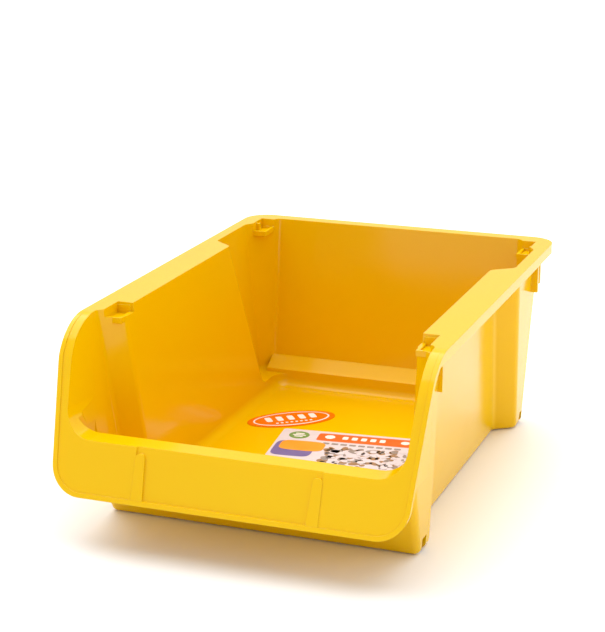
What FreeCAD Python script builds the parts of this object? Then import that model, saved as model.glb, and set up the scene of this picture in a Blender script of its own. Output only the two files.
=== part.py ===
"""Open-front stacking bin for shelves and racks, with two printed stickers on its floor.

Units are millimetres. +Z is up, the mouth of the bin faces -Y, and the origin lies under the middle of the
bounding box, on the surface that the bin stands on. Three sub-parts are written: the one-piece moulded bin,
a rectangular paper label and an oval sticker.
"""
import FreeCAD
import Part
import Sketcher
import math
import os

V = FreeCAD.Vector

# Driving dimensions, in millimetres except for the leans, which are sideways run per unit of height.
DIMENSIONS = {
    # overall
    "height": 84.0,
    "half_width": 75.0,
    "rear_y": 110.0,
    "wall": 2.2,
    # front frame
    "mouth_y": -87.95,
    "mouth_lean": 0.35,
    "frame_foot_z": 21.0,
    "frame_plate": 2.3,
    "frame_foot_half": 71.2,
    "frame_full_z": 72.0,
    "frame_corner": 12.5,
    "brow_radius": 23.0,
    "lip_z": 42.0,
    "lip_depth": 6.5,
    "lip_band_y": -94.0,
    "lip_slope": 0.7,
    "lip_rise": 1.3,
    "mouth_flare": 3.4,
    "bead": 1.8,
    "bead_step": 0.4,
    "cheek_sheet": 2.2,
    "panel_half": 37.6,
    "panel_depth": 0.6,
    "rib_rise": 0.9,
    "rib_half_inner_top": 33.9,
    "rib_half_inner_foot": 32.9,
    "rib_half_outer": 37.8,
    "rib_top_z": 39.6,
    "rib_corner": 1.7,
    "cheek_half_low": 67.9,
    "cheek_half_top": 70.2,
    "mouth_back_y": -78.0,
    "plate_cut_y": -87.5,
    "opening_corner": 10.0,
    # rim
    "rim_sheet": 2.2,
    "skirt_drop": 4.5,
    "skirt_wall": 1.8,
    "rim_corner": 11.0,
    "skirt_front_y": -80.0,
    # plan of the cavity at the rim
    "bay_half_top": 69.8,
    "waist_half_top": 60.6,
    "front_bay_end_top": -70.0,
    "rear_bay_start_top": 52.0,
    "rear_cant_half_top": 59.5,
    "back_y_top": 103.5,
    # plan of the cavity at the standing surface
    "bay_half_foot": 63.2,
    "waist_half_foot": 54.4,
    "front_bay_end_foot": -58.0,
    "rear_bay_start_foot": 83.0,
    "rear_cant_half_foot": 60.0,
    "back_y_foot": 96.8,
    "toe_y": -71.0,
    "toe_lean": 0.5,
    "bay_slant": 0.78,
    "cant_run": 1.7,
    # floor
    "floor_z": 5.0,
    "floor_sheet": 2.5,
    "bay_floor_z": 11.0,
    "step_y": 89.5,
    "step_low_z": 12.8,
    "step_high_z": 17.4,
    "step_back_y": 97.6,
    "step_half": 60.5,
    # stacking seats under the rim
    "seat_depth": 3.6,
    "shelf_sheet": 2.4,
    "tray_lip": 1.3,
    "tray_depth": 0.9,
    "shelf_half_start": 60.9,
    "shelf_half_end": 69.4,
    "gap_half_start": 58.0,
    "gap_half_end": 67.3,
    "front_shelf_front": -65.8,
    "front_shelf_back": -53.5,
    "rear_shelf_front": 89.8,
    "rear_shelf_back": 102.8,
    "front_gap_front": -68.9,
    "front_gap_back": -55.3,
    "rear_gap_front": 87.6,
    "rear_gap_back": 101.0,
    # gussets that hang beside the seats
    "gusset_sheet": 2.0,
    "gusset_drop": 16.6,
    "front_gusset_start": 69.9,
    "front_gusset_end": 72.6,
    "front_gusset_y": -69.5,
    "front_rib_start": 61.5,
    "front_rib_end": 69.0,
    "front_rib_y": -56.0,
    "rear_gusset_start": 70.5,
    "rear_gusset_end": 73.8,
    "rear_gusset_y": 78.5,
    "rear_rib_start": 65.8,
    "rear_rib_end": 71.2,
    "rear_rib_y": 94.0,
    # underside
    "recess_half": 51.0,
    "recess_front_y": -63.0,
    "recess_back_y": 84.0,
    "foot_hollow_start": 56.6,
    "foot_hollow_end": 63.2,
    "front_hollow_front": -68.6,
    "front_hollow_back": -58.0,
    "rear_hollow_front": 83.6,
    "rear_hollow_back": 92.2,
    "slot_run": 5.4,
    "slot_rise": 6.0,
    "front_slot_front": -68.6,
    "rear_slot_front": 86.5,
    # printed stickers on the floor
    "label_length": 74.0,
    "label_width": 50.0,
    "label_x": 10.8,
    "label_y": 10.5,
    "label_turn": 6.5,
    "label_corner": 1.5,
    "oval_length": 41.6,
    "oval_width": 19.5,
    "oval_x": -30.6,
    "oval_y": 44.2,
    "oval_turn": 37.8,
    "sticker_sheet": 0.3,
    # rounding
    "wall_round": 3.0,
    "floor_corner": 6.0,
    "floor_round": 4.0,
    "heel_round": 2.5,
}

doc = FreeCAD.newDocument("StackingBin")
dims = doc.addObject("Spreadsheet::Sheet", "Dims")
for row, (alias, value) in enumerate(DIMENSIONS.items(), start=1):
    dims.set(f"A{row}", alias)
    dims.set(f"B{row}", str(value))
    dims.setAlias(f"B{row}", alias)
doc.recompute()


def plane_of(body, role):
    """The body's own origin plane with this role, such as XY_Plane."""
    return next(feature for feature in body.Origin.OriginFeatures if feature.Role == role)


def new_sketch(body, name, role, height=None):
    """An empty sketch on one of the body's origin planes, lifted along its normal by an expression."""
    sketch = body.newObject("Sketcher::SketchObject", name)
    sketch.AttachmentSupport = [(plane_of(body, role), "")]
    sketch.MapMode = "FlatFace"
    if height is not None:
        sketch.setExpression("AttachmentOffset.Base.z", height)
    return sketch


working = doc.addObject("Spreadsheet::Sheet", "Working")
worked_out = {}


def value(expression):
    """The number that an expression gives, worked out once in a spare cell of a second sheet."""
    if expression not in worked_out:
        working.set("A1", "=" + expression)
        working.recompute()
        number = working.get("A1")
        worked_out[expression] = float(getattr(number, "Value", number))
    return worked_out[expression]


def bind(sketch, kind, first, first_end, expression):
    """One driving distance from the sketch's origin to a point, taken from the sheet."""
    index = sketch.addConstraint(Sketcher.Constraint(kind, -1, 1, first, first_end, value(expression)))
    sketch.setExpression(f"Constraints[{index}]", expression)


def polygon(sketch, corners):
    """A closed outline through corners, each a pair of expressions for its two sketch coordinates."""
    count = len(corners)
    start = sketch.GeometryCount
    ring = [V(value(across), value(along), 0) for across, along in corners]
    for k in range(count):
        sketch.addGeometry(Part.LineSegment(ring[k], ring[(k + 1) % count]), False)
    for k in range(count):
        sketch.addConstraint(Sketcher.Constraint("Coincident", start + k, 2, start + (k + 1) % count, 1))
    for k, (across, along) in enumerate(corners):
        bind(sketch, "DistanceX", start + k, 1, across)
        bind(sketch, "DistanceY", start + k, 1, along)


def rounded_outline(sketch, corners):
    """A closed outline with round corners: each corner is two coordinate expressions and a radius or None.

    The corners are given in the order that makes every round one a turn to the left.
    """
    points = [V(value(across), value(along), 0) for across, along, _ in corners]
    count = len(corners)
    entry, leave, centres = [], [], []
    for k, (_, _, radius) in enumerate(corners):
        back = (points[k - 1] - points[k]).normalize()
        ahead = (points[(k + 1) % count] - points[k]).normalize()
        if radius is None:
            entry.append(points[k])
            leave.append(points[k])
            centres.append(None)
            continue
        half_angle = back.getAngle(ahead) / 2
        run = value(radius) / math.tan(half_angle)
        entry.append(points[k] + back * run)
        leave.append(points[k] + ahead * run)
        centres.append(points[k] + (back + ahead).normalize() * (value(radius) / math.sin(half_angle)))
    lines = [sketch.addGeometry(Part.LineSegment(leave[k], entry[(k + 1) % count]), False) for k in range(count)]
    for k, (across, along, radius) in enumerate(corners):
        before, after = lines[k - 1], lines[k]
        if radius is None:
            sketch.addConstraint(Sketcher.Constraint("Coincident", before, 2, after, 1))
            bind(sketch, "DistanceX", after, 1, across)
            bind(sketch, "DistanceY", after, 1, along)
            continue
        middle = centres[k] + (points[k] - centres[k]).normalize() * value(radius)
        arc = sketch.addGeometry(Part.Arc(entry[k], middle, leave[k]), False)
        start_end = (1, 2) if sketch.Geometry[arc].StartPoint.distanceToPoint(entry[k]) < 0.001 else (2, 1)
        sketch.addConstraint(Sketcher.Constraint("Tangent", before, 2, arc, start_end[0]))
        sketch.addConstraint(Sketcher.Constraint("Tangent", arc, start_end[1], after, 1))
        index = sketch.addConstraint(Sketcher.Constraint("Radius", arc, value(radius)))
        sketch.setExpression(f"Constraints[{index}]", radius)
        corner = sketch.addGeometry(Part.Point(points[k]), True)
        sketch.addConstraint(Sketcher.Constraint("PointOnObject", corner, 1, before))
        sketch.addConstraint(Sketcher.Constraint("PointOnObject", corner, 1, after))
        bind(sketch, "DistanceX", corner, 1, across)
        bind(sketch, "DistanceY", corner, 1, along)


def mirrored(half_plan):
    """The whole outline from its right half, which runs from front to back."""
    left = [(f"-({across})", along) for across, along in reversed(half_plan)]
    return half_plan + left


def d(name):
    """A sheet cell as it is written in an expression."""
    return f"Dims.{name}"


def front_plane(height, inward="0"):
    """Y of the front frame's face at a height, moved into the bin by some distance."""
    return (f"{d('mouth_y')} - {d('mouth_lean')} * ({d('height')} - ({height})) + "
            f"({inward}) * sqrt(1 + {d('mouth_lean')} * {d('mouth_lean')})")


def between(foot, top, height):
    """A plan size at a height, changing evenly from the standing surface to the rim."""
    return f"({d(foot)} + ({d(top)} - {d(foot)}) * ({height}) / {d('height')})"


def wall_plan(height, grow="0"):
    """The plan of the tub at a height: a front bay, a waist, a rear bay and canted rear corners.

    The outline is the cavity's, moved outwards by grow on every side but the front, where it keeps to the
    toe's leaning plane. Each slanted stretch keeps its direction all the way up, so every wall is flat.
    """
    bay = between("bay_half_foot", "bay_half_top", height)
    waist = between("waist_half_foot", "waist_half_top", height)
    cant = between("rear_cant_half_foot", "rear_cant_half_top", height)
    back = between("back_y_foot", "back_y_top", height)
    front_end = between("front_bay_end_foot", "front_bay_end_top", height)
    rear_start = between("rear_bay_start_foot", "rear_bay_start_top", height)
    slant = d("bay_slant")
    cant_run = d("cant_run")
    slip = f"({grow}) * (sqrt(1 + {slant} * {slant}) - {slant})"
    cant_slip = f"({grow}) * (sqrt(1 + {cant_run} * {cant_run}) - {cant_run})"
    cant_shift = f"({grow}) * (sqrt(1 + {cant_run} * {cant_run}) - 1) / {cant_run}"
    toe = (f"{d('toe_y')} - {d('toe_lean')} * ({height}) + ({d('wall')} - ({grow})) * "
           f"sqrt(1 + {d('toe_lean')} * {d('toe_lean')})")
    return mirrored([
        (f"{bay} + {grow}", toe),
        (f"{bay} + {grow}", f"{front_end} + {slip}"),
        (f"{waist} + {grow}", f"{front_end} + {slant} * ({bay} - {waist}) + {slip}"),
        (f"{waist} + {grow}", f"{rear_start} - {slant} * ({bay} - {waist}) - {slip}"),
        (f"{bay} + {grow}", f"{rear_start} - {slip}"),
        (f"{bay} + {grow}", f"{back} - {cant_run} * ({bay} - {cant}) + {cant_slip}"),
        (f"{cant} + {cant_shift}", f"{back} + {grow}"),
    ])


def failed(feature):
    """True when a feature could not be worked out."""
    return any(word in ("Invalid", "Error") for word in feature.State)


def finish_feature(body, feature):
    """Work the feature out, make it the body's tip, and report its volume."""
    body.Tip = feature
    doc.recompute()
    if failed(feature) or feature.Shape.isNull() or not feature.Shape.isValid():
        raise RuntimeError(f"{feature.Name} did not build: {feature.State}")
    print(f"{feature.Name}: {feature.Shape.Volume / 1000:.2f} cm3")
    return feature


def pad(body, name, sketch, length, midplane=False, reverse=False):
    """A pad whose length is an expression."""
    feature = body.newObject("PartDesign::Pad", name)
    feature.Profile = sketch
    feature.setExpression("Length", length)
    feature.Midplane = midplane
    feature.Reversed = reverse
    return finish_feature(body, feature)


def pocket(body, name, sketch, length, midplane=False, reverse=False, taper=None):
    """A pocket whose depth is an expression; it must take material away. A taper is a cell in degrees."""
    before = body.Shape.Volume
    feature = body.newObject("PartDesign::Pocket", name)
    feature.Profile = sketch
    feature.setExpression("Length", length)
    feature.Midplane = midplane
    feature.Reversed = reverse
    if taper:
        feature.setExpression("TaperAngle", d(taper))
    finish_feature(body, feature)
    if feature.Shape.Volume > before - 0.01:
        raise RuntimeError(f"{name} cut nothing")
    return feature


def round_edges(body, name, radius, wanted):
    """A fillet on the edges that pass the test; the radius is an expression."""
    base = body.Tip
    names = [f"Edge{k}" for k, edge in enumerate(base.Shape.Edges, start=1) if wanted(edge)]
    feature = body.newObject("PartDesign::Fillet", name)
    feature.Base = (base, names)
    feature.setExpression("Radius", radius)
    print(f"{name}: {len(names)} edges")
    return finish_feature(body, feature)


def ends(edge):
    """The two end points of an edge, or its one point if it is closed."""
    return [vertex.Point for vertex in edge.Vertexes]


def upright(edge):
    """True for a straight edge that rises through most of the wall."""
    points = ends(edge)
    return len(points) == 2 and abs(points[0].z - points[1].z) > 30


# Reach, in mm, of a cut or pad that has to run from behind the mouth to beyond the front of the bin.
FORWARD = "60"

# A y, in mm, well in front of the bin.
FRONT_OF_BIN = "-145"

# How far, in mm, a cutting outline runs past the material that it cuts.
PAST = 5

# How far, in mm, the cut behind the lip reaches back into the tub's open space.
SLOPE_RUN = 14

# The moulded bin ---------------------------------------------------------------------------------------

bin_body = doc.addObject("PartDesign::Body", "bin_body")
bin_body.Label = "bin_body"

# Rim sheet and front frame: one bent strip across the whole width, a little proud of the finished faces.
PROUD = 1.0
strip = new_sketch(bin_body, "strip_profile", "YZ_Plane")
above_rim = f"{d('height')} + {PROUD}"
under_rim = f"{d('height')} - {d('rim_sheet')}"
polygon(strip, [
    (d("rear_y"), above_rim),
    (front_plane(above_rim, f"-{PROUD}"), above_rim),
    (front_plane(d("frame_foot_z"), f"-{PROUD}"), d("frame_foot_z")),
    (front_plane(d("frame_foot_z"), d("frame_plate")), d("frame_foot_z")),
    (front_plane(under_rim, d("frame_plate")), under_rim),
    (d("rear_y"), under_rim),
])
pad(bin_body, "rim_and_frame_strip", strip, f"2 * {d('half_width')}", midplane=True)


def inner_brow(edge):
    """The inside corner where the rim sheet turns down into the front plate."""
    points = ends(edge)
    return len(points) == 2 and all(
        abs(point.z - (DIMENSIONS["height"] - DIMENSIONS["rim_sheet"])) < 0.01 and point.y < 0 for point in points)


round_edges(bin_body, "brow_inside", f"{d('brow_radius')} - {d('frame_plate')}", inner_brow)

# Turned-down skirt along the sides and the back.
skirt = new_sketch(bin_body, "skirt_plan", "XY_Plane", f"{d('height')} - {d('skirt_drop')}")
skirt_inner = f"{d('half_width')} - {d('skirt_wall')}"
skirt_back = f"{d('rear_y')} - {d('skirt_wall')}"
polygon(skirt, mirrored([
    (d("half_width"), d("skirt_front_y")),
    (d("half_width"), d("rear_y")),
]) + [
    (f"-({skirt_inner})", d("skirt_front_y")),
    (f"-({skirt_inner})", skirt_back),
    (skirt_inner, skirt_back),
    (skirt_inner, d("skirt_front_y")),
])
pad(bin_body, "rim_skirt", skirt, f"{d('skirt_drop')} - {d('rim_sheet')} / 2")


def rim_corner(edge):
    """The upright edges at the rim's two rear corners, outside and inside the skirt."""
    points = ends(edge)
    if len(points) != 2 or abs(points[0].z - points[1].z) < 1:
        return False
    return all(point.y > DIMENSIONS["rear_y"] - 2 and abs(point.x) > DIMENSIONS["half_width"] - 2 for point in points)


round_edges(bin_body, "rim_corners", d("rim_corner"), rim_corner)


def combine(body, name, kind, tool):
    """Fuse another body into this one, or cut it away."""
    before = body.Shape.Volume
    feature = body.newObject("PartDesign::Boolean", name)
    feature.addObject(tool)
    feature.Type = kind
    finish_feature(body, feature)
    if (feature.Shape.Volume - before) * (1 if kind == "Fuse" else -1) < 0:
        raise RuntimeError(f"{name} changed nothing")
    return feature


def lying_at(height):
    """A test for edges that lie at one height."""
    def test(edge):
        return all(abs(point.z - height) < 0.01 for point in ends(edge))
    return test


def free_sketch(name, height):
    """A level sketch that belongs to no body, at a height given by an expression."""
    sketch = doc.addObject("Sketcher::SketchObject", name)
    sketch.setExpression("Placement.Base.z", height)
    return sketch


def rounded_part(base, name, radius_cell, wanted):
    """A Part fillet on the edges that pass the test, with its radius read from the sheet."""
    radius = float(dims.get(radius_cell))
    rounded = doc.addObject("Part::Fillet", name)
    rounded.Base = base
    rounded.Edges = [(k, radius, radius) for k, edge in enumerate(base.Shape.Edges, start=1) if wanted(edge)]
    doc.recompute()
    if failed(rounded) or rounded.Shape.isNull() or not rounded.Shape.isValid():
        raise RuntimeError(f"{name} did not build")
    print(f"{name}: {len(rounded.Edges)} edges, {rounded.Shape.Volume / 1000:.2f} cm3")
    return rounded


def flat_sided(name, low, low_outline, high, high_outline):
    """A solid with flat sides between two level outlines of as many corners.

    A loft makes each side a curved patch even where it is flat, so the sides are made as plain faces here.
    """
    rings = []
    for level, height, outline in (("low", low, low_outline), ("high", high, high_outline)):
        plan = free_sketch(f"{name}_{level}_plan", height)
        polygon(plan, outline)
        rings.append([V(value(across), value(along), value(height)) for across, along in outline])
    low_ring, high_ring = rings
    count = len(low_ring)
    sides = [[low_ring[k - 1], low_ring[k], high_ring[k], high_ring[k - 1]] for k in range(count)]
    faces = [Part.Face(Part.makePolygon(ring + ring[:1])) for ring in [low_ring[::-1], high_ring] + sides]
    shell = Part.makeShell(faces)
    shell.sewShape()
    form = doc.addObject("Part::Feature", f"{name}_form")
    form.Shape = Part.makeSolid(shell)
    return form


def rounded_body(name, form, uprights, upright_cell, low_height, heel_cell):
    """A body made from a flat-sided form, with its uprights and its lowest edge rounded."""
    rounded = rounded_part(form, f"{name}_uprights", upright_cell, uprights)
    heel = rounded_part(rounded, f"{name}_heel", heel_cell, lying_at(low_height))
    body = doc.addObject("PartDesign::Body", f"{name}_body")
    body.BaseFeature = heel
    doc.recompute()
    return body


def tub_form(name, low, high, grow):
    """A body in the tub's form between two heights."""
    form = flat_sided(name, low, wall_plan(low, grow), high, wall_plan(high, grow))
    return rounded_body(name, form, upright, "wall_round", value(low), "heel_round")


tub_top = f"{d('height')} - {d('rim_sheet')} / 2"
tub_body = tub_form("tub", "0", tub_top, d("wall"))
combine(bin_body, "tub_joined", "Fuse", tub_body)

# The lip's bar across the mouth, from behind the front plate back into the tub's toe.
BEHIND_MOUTH = d("mouth_back_y")
lip_bar = new_sketch(bin_body, "lip_bar_profile", "YZ_Plane")
lip_under = f"{d('lip_z')} - {d('lip_depth')}"
bar_top = f"{d('lip_z')} + {d('opening_corner')}"
bar_back = f"{d('lip_band_y')} + {d('opening_corner')}"
polygon(lip_bar, [
    (front_plane(lip_under), lip_under),
    (front_plane(bar_top), bar_top),
    (bar_back, bar_top),
    (bar_back, lip_under),
])
pad(bin_body, "lip_bar", lip_bar, f"2 * ({d('cheek_half_low')} + {d('cheek_sheet')} / 2)", midplane=True)

# Cheeks carry the side walls forward to the front plate on both sides of the mouth.
cheeks = new_sketch(bin_body, "cheek_outline", "XZ_Plane", f"-({BEHIND_MOUTH})")
cheek_top = f"{d('height')} - {d('rim_sheet')}"
for side in ("", "-"):
    polygon(cheeks, [
        (f"{side}({d('cheek_half_low')} - {d('cheek_sheet')} / 2)", lip_under),
        (f"{side}({d('cheek_half_low')} + {d('cheek_sheet')})", lip_under),
        (f"{side}({d('cheek_half_top')} + {d('cheek_sheet')})", cheek_top),
        (f"{side}({d('cheek_half_low')} - {d('cheek_sheet')} / 2)", cheek_top),
    ])
pad(bin_body, "cheeks", cheeks, FORWARD)

# The front plate narrows downwards and has two large lower corners.
plate_sides = new_sketch(bin_body, "plate_sides", "XZ_Plane", f"-({d('plate_cut_y')})")
OUTSIDE = f"{d('half_width')} + {PAST}"
rounded_outline(plate_sides, [
    (f"-({OUTSIDE})", d("frame_full_z"), None),
    (f"-{d('half_width')}", d("frame_full_z"), None),
    (f"-{d('frame_foot_half')}", d("frame_foot_z"), d("frame_corner")),
    (d("frame_foot_half"), d("frame_foot_z"), d("frame_corner")),
    (d("half_width"), d("frame_full_z"), None),
    (OUTSIDE, d("frame_full_z"), None),
    (OUTSIDE, f"{d('frame_foot_z')} - {PAST}", None),
    (f"-({OUTSIDE})", f"{d('frame_foot_z')} - {PAST}", None),
])
pocket(bin_body, "plate_sides_cut", plate_sides, FORWARD, reverse=True)

# Everything outside the finished rim, brow and front faces comes away.
trim = new_sketch(bin_body, "outer_trim", "YZ_Plane")
low_z = f"{d('frame_foot_z')} - 2 * {PAST}"
rounded_outline(trim, [
    (f"{d('rear_y')} + {PAST}", d("height"), None),
    (front_plane(d("height")), d("height"), d("brow_radius")),
    (front_plane(low_z), low_z, None),
    (FRONT_OF_BIN, low_z, None),
    (FRONT_OF_BIN, f"{d('height')} + {PAST}", None),
    (f"{d('rear_y')} + {PAST}", f"{d('height')} + {PAST}", None),
])
pocket(bin_body, "outer_faces", trim, f"3 * {d('half_width')}", midplane=True)

cavity_body = tub_form("cavity", d("bay_floor_z"), above_rim, "0")
combine(bin_body, "cavity_cut", "Cut", cavity_body)


# The mouth: the opening above the lip. It starts flush with the cavity's side walls and flares forwards.
mouth = new_sketch(bin_body, "mouth_outline", "XZ_Plane", f"-({BEHIND_MOUTH})")
mouth_low = f"{d('lip_z')} + {d('lip_rise')}"
mouth_high = f"{d('height')} + {PAST}"
mouth_low_half = between("bay_half_foot", "bay_half_top", mouth_low)
mouth_high_half = between("bay_half_foot", "bay_half_top", mouth_high)
rounded_outline(mouth, [
    (f"-{mouth_low_half}", mouth_low, d("opening_corner")),
    (mouth_low_half, mouth_low, d("opening_corner")),
    (mouth_high_half, mouth_high, None),
    (f"-{mouth_high_half}", mouth_high, None),
])
pocket(bin_body, "mouth", mouth, FORWARD, reverse=True, taper="mouth_flare")

# Behind its flat top the lip slopes down into the tub.
slope = new_sketch(bin_body, "lip_slope_profile", "YZ_Plane")
slope_back = f"{d('lip_band_y')} + {SLOPE_RUN}"
polygon(slope, [
    (d("lip_band_y"), d("lip_z")),
    (d("lip_band_y"), f"{d('lip_z')} + 2 * {d('opening_corner')}"),
    (slope_back, f"{d('lip_z')} + 2 * {d('opening_corner')}"),
    (slope_back, f"{d('lip_z')} - {SLOPE_RUN} * {d('lip_slope')}"),
])
pocket(bin_body, "lip_inner_slope", slope, f"2 * {between('bay_half_foot', 'bay_half_top', d('lip_z'))}",
       midplane=True)


def low_plan(height):
    """The plan of the low part of the cavity, between the side walls and in front of the rear step."""
    waist = between("waist_half_foot", "waist_half_top", height)
    toe = (f"{d('toe_y')} - {d('toe_lean')} * ({height}) + {d('wall')} * "
           f"sqrt(1 + {d('toe_lean')} * {d('toe_lean')})")
    return mirrored([(waist, toe), (waist, d("step_y"))])


def rising(edge):
    """True for an edge that rises through the low part of the cavity."""
    points = ends(edge)
    return len(points) == 2 and abs(points[0].z - points[1].z) > 5


# The low part of the cavity reaches down to the floor.
low_top = f"{d('bay_floor_z')} + {d('heel_round')} + 1"
floor_form = flat_sided("floor", d("floor_z"), low_plan(d("floor_z")), low_top, low_plan(low_top))
floor_body = rounded_body("floor", floor_form, rising, "floor_corner", value(d("floor_z")), "floor_round")
combine(bin_body, "floor_cut", "Cut", floor_body)

# Raised step along the back: a riser with a sloping top.
step = new_sketch(bin_body, "step_profile", "YZ_Plane")
polygon(step, [
    (d("step_y"), f"{d('floor_z')} - 1"),
    (d("step_y"), d("step_low_z")),
    (d("step_back_y"), d("step_high_z")),
    (f"{d('step_back_y')} + 1", d("step_high_z")),
    (f"{d('step_back_y')} + 1", f"{d('floor_z')} - 1"),
])
pad(bin_body, "rear_step", step, f"2 * {d('step_half')}", midplane=True)


def four_patches(name, role_height, patches):
    """A level sketch with one rectangle per patch on the right and its mirror image on the left.

    A patch is its near and far half widths, and its front and back y.
    """
    sketch = new_sketch(bin_body, name, "XY_Plane", role_height)
    for near, far, front, back in patches:
        polygon(sketch, [(near, front), (far, front), (far, back), (near, back)])
        polygon(sketch, [(f"-({far})", front), (f"-({near})", front), (f"-({near})", back), (f"-({far})", back)])
    return sketch


SEATS = ("front", "rear")

# Four stacking seats under the rim: a shelf, the gap in the rim above it, and a shallow tray in the shelf.
seat_z = f"{d('height')} - {d('seat_depth')}"
shelves = four_patches("shelf_plan", f"{seat_z} - {d('shelf_sheet')}", [
    (d("shelf_half_start"), d("shelf_half_end"), d(f"{seat}_shelf_front"), d(f"{seat}_shelf_back"))
    for seat in SEATS])
pad(bin_body, "seat_shelves", shelves, f"{d('seat_depth')} + {d('shelf_sheet')} - {d('rim_sheet')} / 2")
gaps = four_patches("rim_gap_plan", seat_z, [
    (d("gap_half_start"), d("gap_half_end"), d(f"{seat}_gap_front"), d(f"{seat}_gap_back")) for seat in SEATS])
pocket(bin_body, "rim_gaps", gaps, d("seat_depth"), reverse=True)
trays = four_patches("tray_plan", f"{seat_z} - {d('tray_depth')}", [
    (f"{d('shelf_half_start')} + {d('tray_lip')}", f"{d('gap_half_end')} - 0.1",
     f"{d(seat + '_shelf_front')} + {d('tray_lip')}", f"{d(seat + '_shelf_back')} - {d('tray_lip')} - 1")
    for seat in SEATS])
pocket(bin_body, "seat_trays", trays, f"{d('tray_depth')} + 0.5", reverse=True)

# Hanging gussets under the rim beside each seat.
gussets = four_patches("gusset_plan", f"{d('height')} - 1 - {d('gusset_drop')}", [
    (d(f"{key}_start"), d(f"{key}_end"), d(f"{key}_y"), f"{d(key + '_y')} + {d('gusset_sheet')}")
    for key in ("front_gusset", "front_rib", "rear_gusset", "rear_rib")])
pad(bin_body, "gussets", gussets, d("gusset_drop"))

# Underside: a wide shallow recess, a hollow in each foot, and a slot through each foot's side wall.
recess = new_sketch(bin_body, "underside_plan", "XY_Plane")
polygon(recess, [
    (f"-{d('recess_half')}", d("recess_front_y")),
    (d("recess_half"), d("recess_front_y")),
    (d("recess_half"), d("recess_back_y")),
    (f"-{d('recess_half')}", d("recess_back_y")),
])
pocket(bin_body, "underside_recess", recess, f"{d('floor_z')} - {d('floor_sheet')}", reverse=True)
hollows = four_patches("foot_hollow_plan", None, [
    (d("foot_hollow_start"), d("foot_hollow_end"), d(f"{seat}_hollow_front"), d(f"{seat}_hollow_back"))
    for seat in SEATS])
pocket(bin_body, "foot_hollows", hollows, f"{d('bay_floor_z')} - {d('floor_sheet')}", reverse=True)
slots = four_patches("foot_slot_plan", None, [
    (f"{d('foot_hollow_end')} - 1", f"{d('foot_hollow_end')} + 8", d(f"{seat}_slot_front"),
     f"{d(seat + '_slot_front')} + {d('slot_run')}") for seat in SEATS])
pocket(bin_body, "foot_slots", slots, d("slot_rise"), reverse=True)


def front_form(name, profile, outline):
    """A body that lies against the front face: a profile seen from the side, kept only inside an outline."""
    body = doc.addObject("PartDesign::Body", f"{name}_body")
    side = new_sketch(body, f"{name}_profile", "YZ_Plane")
    rounded_outline(side, profile)
    pad(body, f"{name}_slab", side, f"2 * ({OUTSIDE})", midplane=True)
    around = new_sketch(body, f"{name}_outline", "XZ_Plane", f"-({BEHIND_BROW}) - {PAST}")
    edge = f"{OUTSIDE} + {PAST}"
    rounded_outline(around, [
        (f"-({edge})", "0", None), (edge, "0", None), (edge, f"2 * {d('height')}", None),
        (f"-({edge})", f"2 * {d('height')}", None),
    ])
    rounded_outline(around, outline)
    pocket(body, f"{name}_trim", around, f"2 * {FORWARD}", reverse=True)
    return body


def face_strip(low, high, inner, outer):
    """The side view of a flat strip along the front face, between two depths into the bin."""
    return [
        (front_plane(low, inner), low, None),
        (front_plane(high, inner), high, None),
        (front_plane(high, outer), high, None),
        (front_plane(low, outer), low, None),
    ]


# Inside a raised border, the front face lies a little deeper; the step runs out at the rim.
bead_foot = f"{d('frame_foot_z')} + {d('bead')}"
BEHIND_BROW = f"{d('mouth_y')} + 1.5 * {d('brow_radius')}"
sunk = front_form("sunk_face", [
    (BEHIND_BROW, d("height"), None),
    (front_plane(d("height"), d("bead_step")), d("height"), d("brow_radius")),
    (front_plane(bead_foot, d("bead_step")), bead_foot, None),
    (FRONT_OF_BIN, bead_foot, None),
    (FRONT_OF_BIN, f"{d('height')} + {PAST}", None),
    (BEHIND_BROW, f"{d('height')} + {PAST}", None),
], [
    (f"-({d('half_width')} - {d('bead')})", f"{d('height')} + 2 * {PAST}", None),
    (f"-({d('half_width')} - {d('bead')})", d("frame_full_z"), None),
    (f"-({d('frame_foot_half')} - {d('bead')})", bead_foot, f"{d('frame_corner')} - {d('bead')}"),
    (f"{d('frame_foot_half')} - {d('bead')}", bead_foot, f"{d('frame_corner')} - {d('bead')}"),
    (f"{d('half_width')} - {d('bead')}", d("frame_full_z"), None),
    (f"{d('half_width')} - {d('bead')}", f"{d('height')} + 2 * {PAST}", None),
])
combine(bin_body, "sunk_face_cut", "Cut", sunk)

# The panel that takes a label is deeper again, from the border up through the lip's top edge.
panel_floor = f"{d('bead_step')} + {d('panel_depth')}"
panel = new_sketch(bin_body, "label_panel_profile", "YZ_Plane")
polygon(panel, [(y, z) for y, z, _ in face_strip(bead_foot, f"{d('lip_z')} + 2", panel_floor, "-2")])
pocket(bin_body, "label_panel", panel, f"2 * {d('panel_half')}", midplane=True)

# A tapered rib stands at each end of the panel.
rib_foot = f"{bead_foot} - 0.5"
rib_side = face_strip(rib_foot, f"{d('rib_top_z')} + {PAST}", f"{panel_floor} + 0.5", f"{panel_floor} - {d('rib_rise')}")
right_rib = [
    (d("rib_half_inner_foot"), rib_foot, None),
    (d("rib_half_outer"), rib_foot, None),
    (d("rib_half_outer"), d("rib_top_z"), d("rib_corner")),
    (d("rib_half_inner_top"), d("rib_top_z"), d("rib_corner")),
]
left_rib = [(f"-({across})", height, radius) for across, height, radius in reversed(right_rib)]
for side, outline in (("right", right_rib), ("left", left_rib)):
    combine(bin_body, f"{side}_rib_joined", "Fuse", front_form(f"{side}_rib", rib_side, outline))


# Stickers ------------------------------------------------------------------------------------------------

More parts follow.
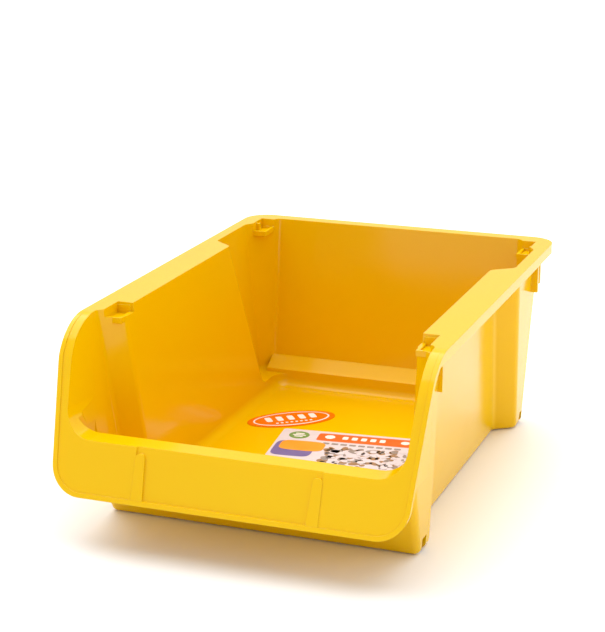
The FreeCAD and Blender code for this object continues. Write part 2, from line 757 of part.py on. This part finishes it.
def sticker_body(name, key):
    """A body for a flat sticker on the floor, placed and turned from the sheet."""
    body = doc.addObject("PartDesign::Body", name)
    body.Label = name
    body.Placement = FreeCAD.Placement(V(0, 0, 0), FreeCAD.Rotation(V(0, 0, 1), 1))
    body.setExpression("Placement.Base.x", d(f"{key}_x"))
    body.setExpression("Placement.Base.y", d(f"{key}_y"))
    body.setExpression("Placement.Base.z", d("floor_z"))
    body.setExpression("Placement.Rotation.Angle", d(f"{key}_turn"))
    return body


product_label = sticker_body("product_label", "label")
label_outline = new_sketch(product_label, "label_outline", "XY_Plane")
half_length = f"{d('label_length')} / 2"
half_label = f"{d('label_width')} / 2"
rounded_outline(label_outline, [
    (f"-{half_length}", f"-{half_label}", d("label_corner")),
    (half_length, f"-{half_label}", d("label_corner")),
    (half_length, half_label, d("label_corner")),
    (f"-{half_length}", half_label, d("label_corner")),
])
pad(product_label, "label_sheet", label_outline, d("sticker_sheet"))

oval_sticker = sticker_body("oval_sticker", "oval")
oval_outline = new_sketch(oval_sticker, "oval_outline", "XY_Plane")
long_half = value(f"{d('oval_length')} / 2")
short_half = value(f"{d('oval_width')} / 2")
oval = oval_outline.addGeometry(Part.Ellipse(V(long_half, 0, 0), V(0, short_half, 0), V(0, 0, 0)), False)
oval_outline.exposeInternalGeometry(oval)
oval_outline.addConstraint(Sketcher.Constraint("Coincident", oval, 3, -1, 1))
oval_outline.addConstraint(Sketcher.Constraint("Horizontal", oval + 1))
for axis, cell in ((oval + 1, "oval_length"), (oval + 2, "oval_width")):
    index = oval_outline.addConstraint(Sketcher.Constraint("Distance", axis, value(d(cell))))
    oval_outline.setExpression(f"Constraints[{index}]", d(cell))
pad(oval_sticker, "oval_sheet", oval_outline, d("sticker_sheet"))

# Checks and files ----------------------------------------------------------------------------------------

os.makedirs("parts", exist_ok=True)
doc.recompute()
broken = [feature.Name for feature in doc.Objects if failed(feature)]
if broken:
    raise RuntimeError(f"these did not build: {broken}")
for part in (bin_body, product_label, oval_sticker):
    if part.Shape.isNull() or not part.Shape.isValid() or len(part.Shape.Solids) != 1:
        raise RuntimeError(f"{part.Label} is not one valid solid")
    part.Shape.exportStep(f"parts/{part.Label}.step")
    print(f"{part.Label}: {part.Shape.Volume / 1000:.2f} cm3, {part.Shape.BoundBox}")
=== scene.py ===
# %% [markdown]
# # An open-front stacking bin
#
# The bin is one moulding in glossy yellow plastic, with a paper label and an oval sticker on its floor.
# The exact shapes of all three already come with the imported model, so this lesson keeps those meshes and
# spends its effort on the finishes, on the print that lies on the two stickers, and on the light.

import bpy
import numpy as np
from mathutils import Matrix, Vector


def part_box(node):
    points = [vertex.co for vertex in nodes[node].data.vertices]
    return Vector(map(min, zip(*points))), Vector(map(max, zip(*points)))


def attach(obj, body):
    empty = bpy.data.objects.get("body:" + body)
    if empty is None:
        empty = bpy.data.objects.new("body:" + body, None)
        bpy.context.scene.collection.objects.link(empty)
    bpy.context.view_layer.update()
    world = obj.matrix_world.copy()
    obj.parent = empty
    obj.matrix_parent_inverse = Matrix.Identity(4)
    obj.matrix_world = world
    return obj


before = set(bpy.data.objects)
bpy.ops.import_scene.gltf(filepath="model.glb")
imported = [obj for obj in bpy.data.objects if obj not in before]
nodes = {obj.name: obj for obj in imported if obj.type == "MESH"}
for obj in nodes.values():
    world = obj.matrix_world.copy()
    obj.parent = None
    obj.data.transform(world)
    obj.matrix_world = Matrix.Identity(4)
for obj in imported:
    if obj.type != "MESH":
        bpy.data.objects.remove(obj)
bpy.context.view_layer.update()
print("nodes:", sorted(nodes))

# %% [markdown]
# ## Shader maths as plain expressions
#
# A node tree can be built by hand, one link at a time, but it is hard to read afterwards. Here a small class
# stands for a socket and overloads the arithmetic operators, so that a pattern reads like a formula.


# %% A material that can be written as formulas
class Value:
    """One output socket. Arithmetic on it adds Math nodes to the same material."""

    def __init__(self, paint, socket):
        self.paint = paint
        self.socket = socket

    def math(self, operation, *others):
        """This value and the others through one Math node."""
        return self.paint.node("ShaderNodeMath", {"operation": operation}, {
            number: other for number, other in enumerate((self, *others))})

    def __add__(self, other):
        return self.math("ADD", other)

    def __mul__(self, other):
        return self.math("MULTIPLY", other)

    __radd__ = __add__
    __rmul__ = __mul__


class Paint:
    """A material with a Principled shader, and one method that adds any other node."""

    def __init__(self, name):
        self.material = bpy.data.materials.new(name)
        self.material.use_nodes = True
        self.tree = self.material.node_tree
        self.shader = self.tree.nodes["Principled BSDF"]
        self.place = self.node("ShaderNodeTexCoord", output="Object")

    def join(self, source, target):
        """Link a Value to a socket, or set the socket to a plain number, colour or vector."""
        if isinstance(source, Value):
            self.tree.links.new(source.socket, target)
        else:
            target.default_value = source

    def node(self, kind, settings=None, inputs=None, output=0):
        """Any node: its settings first, then its inputs by name or number. Gives back one output."""
        made = self.tree.nodes.new(kind)
        for key, setting in (settings or {}).items():
            setattr(made, key, setting)
        for key, source in (inputs or {}).items():
            self.join(source, made.inputs[key])
        return Value(self, made.outputs[output])

    def finish(self, **sockets):
        """Set or link the shader's own sockets, with spaces in their names written as underscores."""
        for key, source in sockets.items():
            self.join(source, self.shader.inputs[key.replace("_", " ")])
        return self.material


print("shader helpers ready")


# %% Noise, mixed shades, and a material for a whole piece
def noise(paint, scale, detail):
    """Noise over object coordinates. A larger scale gives smaller blobs."""
    return paint.node("ShaderNodeTexNoise", inputs={
        "Vector": paint.place, "Scale": scale, "Detail": detail})


def between(paint, low, high, factor):
    """A colour that runs from the low shade to the high one as the factor goes from 0 to 1."""
    return paint.node("ShaderNodeMix", {"data_type": "RGBA"}, {
        "Factor": factor, "A": (*low, 1), "B": (*high, 1)}, output="Result")


def give(piece, material):
    """Put one material on all of a piece's slots."""
    piece.data.materials.clear()
    piece.data.materials.append(material)


print("noise and shades ready")

# %% [markdown]
# ## Moulded plastic
#
# Polypropylene from a polished mould is glossy, but it is never quite even. The colour drifts slightly with
# the flow of the melt, the gloss is a little duller in soft clouds, and the surface carries a faint ripple as
# well as a very fine texture from the steel. A dyed plastic also scatters light under its skin, which warms
# the shadows. A flat colour can't show any of that, so each of the first four comes from noise at its own
# scale. The edges of the model are sharp, so a small bevel in the shading rounds them for the light.

# %% The bin's plastic
PLASTIC_LOW = (0.82, 0.475, 0.0)
PLASTIC_HIGH = (0.87, 0.535, 0.0)
PLASTIC_IOR = 1.49
EDGE_RADIUS = 0.00035
RIPPLE_DEPTH = 0.0004
SCATTER_REACH = (0.004, 0.002, 0.0004)


def moulded_plastic():
    """Yellow plastic: flow clouds in the colour and the gloss, ripple and fine texture in the bump."""
    paint = Paint("bin plastic")
    flow = noise(paint, 9.0, 3.0)
    cloud = noise(paint, 38.0, 4.0)
    ripple = noise(paint, 60.0, 1.0)
    grain = noise(paint, 2600.0, 2.0)
    color = between(paint, PLASTIC_LOW, PLASTIC_HIGH, 0.05 + 0.9 * flow)
    soft = paint.node("ShaderNodeBevel", {"samples": 6}, {"Radius": EDGE_RADIUS})
    skin = paint.node("ShaderNodeBump", inputs={
        "Height": 0.9 * ripple + 0.012 * grain, "Strength": 0.22, "Distance": RIPPLE_DEPTH, "Normal": soft})
    return paint.finish(
        Base_Color=color, Roughness=0.09 + 0.10 * cloud, Normal=skin, IOR=PLASTIC_IOR,
        Specular_IOR_Level=0.3, Subsurface_Weight=0.1, Subsurface_Radius=SCATTER_REACH,
        Subsurface_Scale=1.0)


give(nodes["bin_body"], moulded_plastic())
print("plastic on the bin")

# %% [markdown]
# ## Paper and film
#
# The label is coated paper: nearly white, satin, with a fine fibre that shows as soft mottling. The oval is a
# glossy film. Both get the same recipe with different amounts, and the printed inks reuse it with a sheen
# between the two.

# %% Printed sheets and inks
FIBRE_DEPTH = 0.00003


def printed(name, low, high, gloss=0.25, fibre=0.2):
    """A printed surface: two close shades mottled by fibre noise, with a soft bump from the same fibres."""
    paint = Paint(name)
    fibres = noise(paint, 1400.0, 5.0)
    blotch = noise(paint, 160.0, 2.0)
    color = between(paint, low, high, 0.6 * fibres + 0.4 * blotch)
    skin = paint.node("ShaderNodeBump", inputs={
        "Height": fibres, "Strength": fibre, "Distance": FIBRE_DEPTH})
    return paint.finish(Base_Color=color, Roughness=gloss + 0.15 * blotch, Normal=skin)


INKS = {
    "paper": printed("coated paper", (0.62, 0.57, 0.61), (0.76, 0.70, 0.74), 0.35, 0.4),
    "film": printed("orange film", (0.82, 0.13, 0.0), (0.92, 0.20, 0.0), 0.18, 0.15),
    "white": printed("white ink", (0.86, 0.84, 0.82), (0.95, 0.93, 0.90)),
    "red": printed("orange red ink", (0.80, 0.09, 0.01), (0.90, 0.16, 0.03)),
    "green": printed("green ink", (0.10, 0.26, 0.06), (0.20, 0.36, 0.10)),
    "violet": printed("violet ink", (0.10, 0.09, 0.30), (0.18, 0.15, 0.42)),
    "orange": printed("picture orange ink", (0.86, 0.26, 0.01), (0.95, 0.40, 0.03)),
    "grey": printed("grey ink", (0.22, 0.20, 0.20), (0.34, 0.31, 0.30)),
    "brown": printed("brown ink", (0.24, 0.13, 0.07), (0.40, 0.25, 0.14)),
}
give(nodes["product_label"], INKS["paper"])
give(nodes["oval_sticker"], INKS["film"])
print("inks:", sorted(INKS))

# %% [markdown]
# ## Printed marks
#
# Print could be painted with a pattern in the material, but on small stickers it then blurs. So each ink is
# its own very thin solid on top of the sheet. One formula covers round, oval and nearly rectangular marks: a
# superellipse. Power 2 gives an ellipse, and a large power gives a rectangle with soft corners.

# %% The outline of a thin mark
AROUND = 64
INK_SHEET = 0.00004
RING_REACH = np.array([0.5, 0.98, 1.0, 0.98, 0.5])[:, None]
RING_HEIGHT = np.array([1.0, 1.0, 0.5, 0.0, 0.0])[:, None] * INK_SHEET
RINGS = len(RING_REACH)
PATCH_POINTS = RINGS * AROUND + 2


def mark_points(center, size, turn, base, power):
    """A thin closed patch in the shape of a superellipse.

    At angle t the edge lies at half the size times cos(t) and sin(t), each raised to 2 / power with its sign
    kept. Rings run from the middle of the top out to the edge and back to the middle of the underside.
    """
    t = np.linspace(0.0, 2.0 * np.pi, AROUND, endpoint=False)
    edge_x = 0.5 * size[0] * np.sign(np.cos(t)) * np.abs(np.cos(t)) ** (2.0 / power)
    edge_y = 0.5 * size[1] * np.sign(np.sin(t)) * np.abs(np.sin(t)) ** (2.0 / power)
    x, y = RING_REACH * edge_x, RING_REACH * edge_y
    across = center[0] + x * np.cos(turn) - y * np.sin(turn)
    along = center[1] + x * np.sin(turn) + y * np.cos(turn)
    height = np.broadcast_to(base + RING_HEIGHT, across.shape)
    rings = np.stack([across, along, height], axis=-1).reshape(-1, 3)
    poles = np.array([[center[0], center[1], base + INK_SHEET], [center[0], center[1], base]])
    return np.concatenate([rings, poles])


def mark_faces(first):
    """The faces of one patch, whose points start at this number: quads between rings, triangles at the poles."""
    k = np.arange(AROUND)
    nxt = (k + 1) % AROUND
    faces = []
    for ring in range(RINGS - 1):
        a = first + ring * AROUND
        faces += np.stack([a + k, a + AROUND + k, a + AROUND + nxt, a + nxt], axis=-1).tolist()
    top = first + RINGS * AROUND
    faces += np.stack([np.full(AROUND, top), first + k, first + nxt], axis=-1).tolist()
    last = first + (RINGS - 1) * AROUND
    faces += np.stack([np.full(AROUND, top + 1), last + nxt, last + k], axis=-1).tolist()
    return faces


print("one mark has", PATCH_POINTS, "points")


# %% New objects, and all the marks of one ink
def added(name, data):
    """A new object in the scene, around a mesh, a lamp or a camera."""
    made = bpy.data.objects.new(name, data)
    bpy.context.scene.collection.objects.link(made)
    return made


def mesh_piece(name, points, faces):
    """A new object from lists of points and faces."""
    mesh = bpy.data.meshes.new(name)
    mesh.from_pydata(points, [], faces)
    return added(name, mesh)


def ink_piece(name, ink, marks):
    """One object for all the marks of one ink on one sticker."""
    points = np.concatenate([mark_points(*mark) for mark in marks]).tolist()
    faces = [face for number in range(len(marks)) for face in mark_faces(number * PATCH_POINTS)]
    piece = mesh_piece(name, points, faces)
    give(piece, INKS[ink])
    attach(piece, "root")
    print(f"{name}: {len(marks)} marks, {len(faces)} faces")


print("inks can be laid")


# %% Place marks in a sticker's own plan
def sticker_plan(node, turn):
    """The middle of a sticker, its turn, and the height of its top face."""
    low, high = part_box(node)
    return np.array([0.5 * (low[0] + high[0]), 0.5 * (low[1] + high[1])]), turn, high[2]


def placed(plan, across, along, width, depth, power, layer=0, lean=0.0):
    """A mark at a place in the sticker's plan, in metres, on one of the ink layers above its face."""
    middle, turn, top = plan
    x = middle[0] + across * np.cos(turn) - along * np.sin(turn)
    y = middle[1] + across * np.sin(turn) + along * np.cos(turn)
    return ((x, y), (width, depth), turn + lean, top + layer * INK_SHEET, power)


def row(plan, start, step, count, along, width, depth, power, layer=0):
    """Equal marks side by side: each lies one step further along the sticker's long axis."""
    return [placed(plan, start + step * number, along, width, depth, power, layer)
            for number in range(count)]


ELLIPSE, FLECK, CUSHION, SLAB, LINE, STRIP = 2.0, 2.6, 4.0, 5.0, 6.0, 12.0
print("superellipse powers from", ELLIPSE, "to", STRIP)

# %% [markdown]
# ## Print on the oval sticker
#
# The oval carries a pale ring near its edge and a row of plain upright bars with a short line of dots below,
# in place of the words on a real one. Positions are given in the sticker's own plan, from its middle, along
# its long and short axes, and are then turned with it.

# %% The oval's ring, bars and dots
OVAL_TURN = np.radians(37.8)
OVAL_BARS = (-0.0105, -0.0053, 0.0, 0.0053, 0.0105)
OVAL_DOTS = np.linspace(-0.008, 0.008, 8)

OVAL = sticker_plan("oval_sticker", OVAL_TURN)
ink_piece("oval_border", "white", [placed(OVAL, 0, 0, 0.0362, 0.0166, ELLIPSE)])
ink_piece("oval_field", "film", [placed(OVAL, 0, 0, 0.0346, 0.0150, ELLIPSE, 1)])
bars = [placed(OVAL, x, 0.0012, 0.0030, 0.0058, SLAB, 2) for x in OVAL_BARS]
dots = [placed(OVAL, x, -0.0044, 0.0012, 0.0012, CUSHION, 2) for x in OVAL_DOTS]
ink_piece("oval_marks", "white", bars + dots)

# %% [markdown]
# ## Print on the label
#
# The label shows a straight banner with a row of grey bars under it, a small round badge, a picture of a tray
# on a darker tray, a picture of a heap of parts, and rows of fine lines where a real one has its small print.

# %% The label's banner and badge
LABEL_TURN = np.radians(6.5)
BANNER_ROW = 0.0185
BADGE_ACROSS, BADGE_ALONG = -0.0285, 0.0180
BADGE_LINES = ((0.0018, 0.0040), (0.0, 0.0060), (-0.0018, 0.0040))

LABEL = sticker_plan("product_label", LABEL_TURN)
ink_piece("label_banner", "red", [placed(LABEL, 0.0020, 0.0180, 0.0440, 0.0095, STRIP)])
discs = [placed(LABEL, across, BANNER_ROW, size, size, ELLIPSE, 1)
         for across, size in ((0.0195, 0.0040), (-0.0145, 0.0046))]
ink_piece("label_banner_marks", "white",
          row(LABEL, -0.0075, 0.0042, 5, BANNER_ROW, 0.0026, 0.0036, SLAB, 1) + discs)
ink_piece("label_badge", "green", [
    placed(LABEL, BADGE_ACROSS, BADGE_ALONG, 0.0092, 0.0092, ELLIPSE)])
ink_piece("label_badge_marks", "white", [
    placed(LABEL, BADGE_ACROSS, BADGE_ALONG + up, width, 0.0011, SLAB, 1) for up, width in BADGE_LINES])

# %% The label's trays
ink_piece("label_lower_tray", "violet", [
    placed(LABEL, -0.0270, 0.0010, 0.0180, 0.0185, SLAB)])
ink_piece("label_upper_tray", "orange", [
    placed(LABEL, -0.0240, 0.0050, 0.0200, 0.0120, CUSHION, 1)])

# %% The label's heap of parts
PARTS = 150
HEAP_LOW, HEAP_HIGH = (-0.012, -0.0145), (0.034, 0.0070)
HEAP_LAYERS = (("label_parts_dark", "brown", slice(0, 60)),
               ("label_parts_grey", "grey", slice(60, 110)),
               ("label_parts_pale", "paper", slice(110, PARTS)))

rng = np.random.default_rng(7)
heap = rng.uniform(HEAP_LOW, HEAP_HIGH, (PARTS, 2))
wide = rng.uniform(0.0018, 0.0052, PARTS)
deep = wide * rng.uniform(0.35, 0.9, PARTS)
lean = rng.uniform(0.0, np.pi, PARTS)
for layer, (name, ink, chosen) in enumerate(HEAP_LAYERS):
    ink_piece(name, ink, [
        placed(LABEL, x, y, width, depth, FLECK, layer, turn) for (x, y), width, depth, turn in zip(
            heap[chosen], wide[chosen], deep[chosen], lean[chosen])])

# %% The label's small print
ink_piece("label_small_print", "grey",
          row(LABEL, -0.004, 0.006, 6, -0.0175, 0.0050, 0.0006, LINE)
          + row(LABEL, -0.004, 0.006, 6, -0.0195, 0.0050, 0.0006, LINE)
          + row(LABEL, -0.0145, 0.0040, 9, 0.0103, 0.0030, 0.0020, LINE))

# %% [markdown]
# ## Floor and light
#
# Catalogue light is soft and comes from all round. A pale floor and a bright, even surrounding do most of the
# work. A very broad lamp overhead brightens the rim, and a large panel on the right gives the outer side its
# broad pale reflection.

# %% A pale floor
FLOOR_HALF = 6.0
FLOOR_HEIGHT = -0.0002
FLOOR_COLOR = (0.95, 0.95, 0.95, 1)
SHEET_POINTS = 9


def flat_sheet(name, half, height, color):
    """A level square: corners at plus and minus half the side, in both directions, at one height."""
    side = np.linspace(-half, half, SHEET_POINTS)
    u, v = np.meshgrid(side, side, indexing="ij")
    points = np.stack([u, v, np.full_like(u, height)], axis=-1).reshape(-1, 3)
    cell = np.arange(SHEET_POINTS - 1)
    k = (cell[:, None] * SHEET_POINTS + cell[None, :]).reshape(-1)
    faces = np.stack([k, k + SHEET_POINTS, k + SHEET_POINTS + 1, k + 1], axis=-1)
    sheet = mesh_piece(name, points.tolist(), faces.tolist())
    give(sheet, Paint(name).finish(Base_Color=color, Roughness=0.6))


flat_sheet("floor", FLOOR_HALF, FLOOR_HEIGHT, FLOOR_COLOR)
print("floor laid")

# %% The surrounding
WORLD_COLOR = (1, 1, 1, 1)
WORLD_STRENGTH = 0.74

world = bpy.data.worlds.new("studio")
bpy.context.scene.world = world
world.use_nodes = True
surround = world.node_tree.nodes["Background"].inputs
surround["Color"].default_value = WORLD_COLOR
surround["Strength"].default_value = WORLD_STRENGTH
print("surrounding at", WORLD_STRENGTH)

# %% The lamps
LAMP_TARGET = (0.0, 0.0, 0.05)


def look_at(thing, target):
    """Turn a lamp or camera, whose view runs along its own -Z, to face a point."""
    thing.rotation_euler = (Vector(target) - thing.location).to_track_quat("-Z", "Y").to_euler()


def lamp(name, kind, place, **settings):
    """A lamp of one kind that faces the bin, with its settings by name."""
    data = bpy.data.lights.new(name, kind)
    for key, setting in settings.items():
        setattr(data, key, setting)
    holder = added(name, data)
    holder.location = place
    look_at(holder, LAMP_TARGET)
    print("lamp:", name)


lamp("right_panel", "AREA", (1.4, 0.3, 0.5), shape="SQUARE", size=1.0, energy=3.0)
lamp("overhead", "SUN", (-0.2, 0.35, 1.5), energy=2.6, angle=np.radians(75.0))

# %% [markdown]
# ## Strong colours
#
# Blender's default view transform turns bright, strong colours greyer. The standard one shows each shade as it
# was set, which suits a saturated yellow on a white ground.

# %% The view transform
bpy.context.scene.view_settings.view_transform = "Standard"
print("view transform:", bpy.context.scene.view_settings.view_transform)

# %% [markdown]
# ## Camera
#
# The bin is seen from the front, a little from the right and from above, with a lens about twice as long as
# normal, so that its sides converge only gently.

# %% The camera
AIM = Vector((0.00967, -0.0493, 0.0840))
BACK = Vector((0.3352, -0.8994, 0.2806))
DISTANCE = 0.6932
LENS = 101.04
SENSOR = 36.0

camera = added("camera", bpy.data.cameras.new("camera"))
camera.location = AIM + DISTANCE * BACK
look_at(camera, AIM)
camera.data.lens = LENS
camera.data.sensor_width = SENSOR
bpy.context.scene.camera = camera
print("camera at", [round(c, 3) for c in camera.location])
